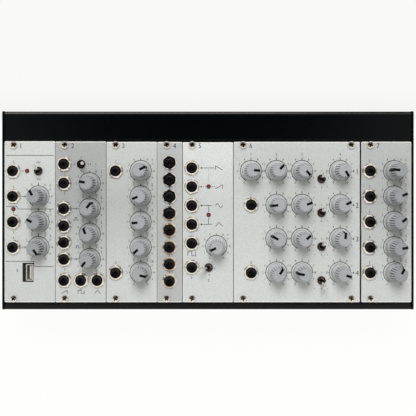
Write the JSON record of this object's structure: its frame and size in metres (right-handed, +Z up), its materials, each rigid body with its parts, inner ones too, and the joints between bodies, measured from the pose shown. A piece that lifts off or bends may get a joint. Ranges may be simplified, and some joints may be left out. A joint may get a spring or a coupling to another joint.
{
  "type": "modular synthesizer",
  "caption": "Table-top modular synthesizer: a shallow black powered case with a row of silver modules carrying jacks, turning knobs and toggle switches.",
  "frame": {"origin": "centre of the footprint, on the surface that the feet rest on", "axes": "+X along the row of modules to the player's right, +Y from the player's edge to the rear, +Z up out of the panels"},
  "size_m": [0.3284, 0.1588, 0.0736],
  "materials": {
    "case_black": "black powder coat, semi-matt, fine texture",
    "panel_aluminium": "fine-grained silver anodised sheet with black printing",
    "knob_plastic": "satin light-grey moulded plastic with a black pointer",
    "bright_nickel": "bright nickel plate",
    "circuit_board": "green solder mask with soldered parts",
    "black_plastic": "black moulded plastic of the sockets",
    "print_ink": "matt black screen print",
    "red_lens": "clear red moulded lens, unlit",
    "foot_rubber": "matt black rubber"
  },
  "bodies": {
    "case": {"front_rail": "case_black", "rear_housing": "case_black", "bottom_tray": "case_black", "left_cheek": "case_black", "right_cheek": "case_black", "front_foot_strip": "foot_rubber", "rear_foot_strip": "foot_rubber", "power_board": "circuit_board", "panel_controller": "panel_aluminium", "board_controller": "circuit_board", "panel_oscillator": "panel_aluminium", "board_oscillator": "circuit_board", "panel_divider": "panel_aluminium", "board_divider": "circuit_board", "panel_multiple": "panel_aluminium", "board_multiple": "circuit_board", "panel_modulator": "panel_aluminium", "board_modulator": "circuit_board", "panel_filter": "panel_aluminium", "board_filter": "circuit_board", "panel_amplifier": "panel_aluminium", "board_amplifier": "circuit_board"},
    "knob_controller_1": {"knob_controller_1": "knob_plastic"},
    "knob_controller_2": {"knob_controller_2": "knob_plastic"},
    "knob_controller_3": {"knob_controller_3": "knob_plastic"},
    "toggle_controller_1": {"toggle_controller_1": "bright_nickel"},
    "knob_oscillator_1": {"knob_oscillator_1": "knob_plastic"},
    "knob_oscillator_2": {"knob_oscillator_2": "knob_plastic"},
    "knob_oscillator_3": {"knob_oscillator_3": "knob_plastic"},
    "knob_oscillator_4": {"knob_oscillator_4": "knob_plastic"},
    "toggle_oscillator_1": {"toggle_oscillator_1": "bright_nickel"},
    "knob_divider_1": {"knob_divider_1": "knob_plastic"},
    "knob_divider_2": {"knob_divider_2": "knob_plastic"},
    "knob_divider_3": {"knob_divider_3": "knob_plastic"},
    "knob_divider_4": {"knob_divider_4": "knob_plastic"},
    "knob_divider_5": {"knob_divider_5": "knob_plastic"},
    "knob_modulator_1": {"knob_modulator_1": "knob_plastic"},
    "toggle_modulator_1": {"toggle_modulator_1": "bright_nickel"},
    "knob_filter_1": {"knob_filter_1": "knob_plastic"},
    "knob_filter_2": {"knob_filter_2": "knob_plastic"},
    "knob_filter_3": {"knob_filter_3": "knob_plastic"},
    "knob_filter_4": {"knob_filter_4": "knob_plastic"},
    "knob_filter_5": {"knob_filter_5": "knob_plastic"},
    "knob_filter_6": {"knob_filter_6": "knob_plastic"},
    "knob_filter_7": {"knob_filter_7": "knob_plastic"},
    "knob_filter_8": {"knob_filter_8": "knob_plastic"},
    "knob_filter_9": {"knob_filter_9": "knob_plastic"},
    "knob_filter_10": {"knob_filter_10": "knob_plastic"},
    "knob_filter_11": {"knob_filter_11": "knob_plastic"},
    "knob_filter_12": {"knob_filter_12": "knob_plastic"},
    "knob_filter_13": {"knob_filter_13": "knob_plastic"},
    "toggle_filter_1": {"toggle_filter_1": "bright_nickel"},
    "toggle_filter_2": {"toggle_filter_2": "bright_nickel"},
    "toggle_filter_3": {"toggle_filter_3": "bright_nickel"},
    "toggle_filter_4": {"toggle_filter_4": "bright_nickel"},
    "knob_amplifier_1": {"knob_amplifier_1": "knob_plastic"},
    "knob_amplifier_2": {"knob_amplifier_2": "knob_plastic"},
    "knob_amplifier_3": {"knob_amplifier_3": "knob_plastic"},
    "knob_amplifier_4": {"knob_amplifier_4": "knob_plastic"},
    "knob_amplifier_5": {"knob_amplifier_5": "knob_plastic"}
  },
  "joints": [
    {"name": "knob_controller_1_turn", "type": "hinge", "parent": "case", "child": "knob_controller_1", "pos_m": [-0.13529, 0.01115, 0.0573], "axis": [0, 0, 1], "range_deg": [-180, 120]},
    {"name": "knob_controller_2_turn", "type": "hinge", "parent": "case", "child": "knob_controller_2", "pos_m": [-0.13529, -0.0091, 0.0573], "axis": [0, 0, 1], "range_deg": [-213, 87]},
    {"name": "knob_controller_3_turn", "type": "hinge", "parent": "case", "child": "knob_controller_3", "pos_m": [-0.13529, -0.02935, 0.0573], "axis": [0, 0, 1], "range_deg": [-5, 295]},
    {"name": "toggle_controller_1_flip", "type": "hinge", "parent": "case", "child": "toggle_controller_1", "pos_m": [-0.13529, 0.0314, 0.0568], "axis": [1, 0, 0], "range_deg": [0, 30]},
    {"name": "knob_oscillator_1_turn", "type": "hinge", "parent": "case", "child": "knob_oscillator_1", "pos_m": [-0.09437, 0.02168, 0.0573], "axis": [0, 0, 1], "range_deg": [-230, 70]},
    {"name": "knob_oscillator_2_turn", "type": "hinge", "parent": "case", "child": "knob_oscillator_2", "pos_m": [-0.09437, 0.00143, 0.0573], "axis": [0, 0, 1], "range_deg": [-111, 189]},
    {"name": "knob_oscillator_3_turn", "type": "hinge", "parent": "case", "child": "knob_oscillator_3", "pos_m": [-0.09437, -0.01862, 0.0573], "axis": [0, 0, 1], "range_deg": [-172, 128]},
    {"name": "knob_oscillator_4_turn", "type": "hinge", "parent": "case", "child": "knob_oscillator_4", "pos_m": [-0.09437, -0.03887, 0.0573], "axis": [0, 0, 1], "range_deg": [-292, 8]},
    {"name": "toggle_oscillator_1_flip", "type": "hinge", "parent": "case", "child": "toggle_oscillator_1", "pos_m": [-0.10119, 0.03687, 0.0568], "axis": [0, 1, 0], "range_deg": [-30, 0]},
    {"name": "knob_divider_1_turn", "type": "hinge", "parent": "case", "child": "knob_divider_1", "pos_m": [-0.05377, 0.0314, 0.0573], "axis": [0, 0, 1], "range_deg": [-87, 213]},
    {"name": "knob_divider_2_turn", "type": "hinge", "parent": "case", "child": "knob_divider_2", "pos_m": [-0.05377, 0.01115, 0.0573], "axis": [0, 0, 1], "range_deg": [-263, 37]},
    {"name": "knob_divider_3_turn", "type": "hinge", "parent": "case", "child": "knob_divider_3", "pos_m": [-0.05377, -0.0091, 0.0573], "axis": [0, 0, 1], "range_deg": [-245, 55]},
    {"name": "knob_divider_4_turn", "type": "hinge", "parent": "case", "child": "knob_divider_4", "pos_m": [-0.05377, -0.02935, 0.0573], "axis": [0, 0, 1], "range_deg": [-283, 17]},
    {"name": "knob_divider_5_turn", "type": "hinge", "parent": "case", "child": "knob_divider_5", "pos_m": [-0.05377, -0.0496, 0.0573], "axis": [0, 0, 1], "range_deg": [-46, 254]},
    {"name": "knob_modulator_1_turn", "type": "hinge", "parent": "case", "child": "knob_modulator_1", "pos_m": [0.00666, -0.02844, 0.0573], "axis": [0, 0, 1], "range_deg": [-266, 34]},
    {"name": "toggle_modulator_1_flip", "type": "hinge", "parent": "case", "child": "toggle_modulator_1", "pos_m": [0.00053, -0.04555, 0.0568], "axis": [0, 1, 0], "range_deg": [0, 56]},
    {"name": "knob_filter_1_turn", "type": "hinge", "parent": "case", "child": "knob_filter_1", "pos_m": [0.03434, 0.0314, 0.0573], "axis": [0, 0, 1], "range_deg": [-55, 245]},
    {"name": "knob_filter_2_turn", "type": "hinge", "parent": "case", "child": "knob_filter_2", "pos_m": [0.05466, 0.0314, 0.0573], "axis": [0, 0, 1], "range_deg": [-107, 193]},
    {"name": "knob_filter_3_turn", "type": "hinge", "parent": "case", "child": "knob_filter_3", "pos_m": [0.07508, 0.0314, 0.0573], "axis": [0, 0, 1], "range_deg": [-12, 288]},
    {"name": "knob_filter_4_turn", "type": "hinge", "parent": "case", "child": "knob_filter_4", "pos_m": [0.10546, 0.0314, 0.0573], "axis": [0, 0, 1], "range_deg": [0, 300]},
    {"name": "knob_filter_5_turn", "type": "hinge", "parent": "case", "child": "knob_filter_5", "pos_m": [0.05466, 0.0044, 0.0573], "axis": [0, 0, 1], "range_deg": [-247, 53]},
    {"name": "knob_filter_6_turn", "type": "hinge", "parent": "case", "child": "knob_filter_6", "pos_m": [0.07508, 0.0044, 0.0573], "axis": [0, 0, 1], "range_deg": [-80, 220]},
    {"name": "knob_filter_7_turn", "type": "hinge", "parent": "case", "child": "knob_filter_7", "pos_m": [0.10546, 0.0044, 0.0573], "axis": [0, 0, 1], "range_deg": [-87, 213]},
    {"name": "knob_filter_8_turn", "type": "hinge", "parent": "case", "child": "knob_filter_8", "pos_m": [0.05466, -0.0226, 0.0573], "axis": [0, 0, 1], "range_deg": [-212, 88]},
    {"name": "knob_filter_9_turn", "type": "hinge", "parent": "case", "child": "knob_filter_9", "pos_m": [0.07508, -0.0226, 0.0573], "axis": [0, 0, 1], "range_deg": [-102, 198]},
    {"name": "knob_filter_10_turn", "type": "hinge", "parent": "case", "child": "knob_filter_10", "pos_m": [0.10546, -0.0226, 0.0573], "axis": [0, 0, 1], "range_deg": [-144, 156]},
    {"name": "knob_filter_11_turn", "type": "hinge", "parent": "case", "child": "knob_filter_11", "pos_m": [0.05466, -0.0496, 0.0573], "axis": [0, 0, 1], "range_deg": [-117, 183]},
    {"name": "knob_filter_12_turn", "type": "hinge", "parent": "case", "child": "knob_filter_12", "pos_m": [0.07508, -0.0496, 0.0573], "axis": [0, 0, 1], "range_deg": [-230, 70]},
    {"name": "knob_filter_13_turn", "type": "hinge", "parent": "case", "child": "knob_filter_13", "pos_m": [0.10546, -0.0496, 0.0573], "axis": [0, 0, 1], "range_deg": [-42, 258]},
    {"name": "toggle_filter_1_flip", "type": "hinge", "parent": "case", "child": "toggle_filter_1", "pos_m": [0.09053, 0.0251, 0.0568], "axis": [1, 0, 0], "range_deg": [0, 30]},
    {"name": "toggle_filter_2_flip", "type": "hinge", "parent": "case", "child": "toggle_filter_2", "pos_m": [0.09053, -0.0019, 0.0568], "axis": [1, 0, 0], "range_deg": [0, 30]},
    {"name": "toggle_filter_3_flip", "type": "hinge", "parent": "case", "child": "toggle_filter_3", "pos_m": [0.09053, -0.0289, 0.0568], "axis": [1, 0, 0], "range_deg": [0, 30]},
    {"name": "toggle_filter_4_flip", "type": "hinge", "parent": "case", "child": "toggle_filter_4", "pos_m": [0.09053, -0.0559, 0.0568], "axis": [1, 0, 0], "range_deg": [-30, 0]},
    {"name": "knob_amplifier_1_turn", "type": "hinge", "parent": "case", "child": "knob_amplifier_1", "pos_m": [0.14862, 0.0314, 0.0573], "axis": [0, 0, 1], "range_deg": [-237, 63]},
    {"name": "knob_amplifier_2_turn", "type": "hinge", "parent": "case", "child": "knob_amplifier_2", "pos_m": [0.14862, 0.01115, 0.0573], "axis": [0, 0, 1], "range_deg": [-83, 217]},
    {"name": "knob_amplifier_3_turn", "type": "hinge", "parent": "case", "child": "knob_amplifier_3", "pos_m": [0.14862, -0.0091, 0.0573], "axis": [0, 0, 1], "range_deg": [-97, 203]},
    {"name": "knob_amplifier_4_turn", "type": "hinge", "parent": "case", "child": "knob_amplifier_4", "pos_m": [0.14862, -0.02935, 0.0573], "axis": [0, 0, 1], "range_deg": [-70, 230]},
    {"name": "knob_amplifier_5_turn", "type": "hinge", "parent": "case", "child": "knob_amplifier_5", "pos_m": [0.14862, -0.0496, 0.0573], "axis": [0, 0, 1], "range_deg": [-124, 176]}
  ]
}
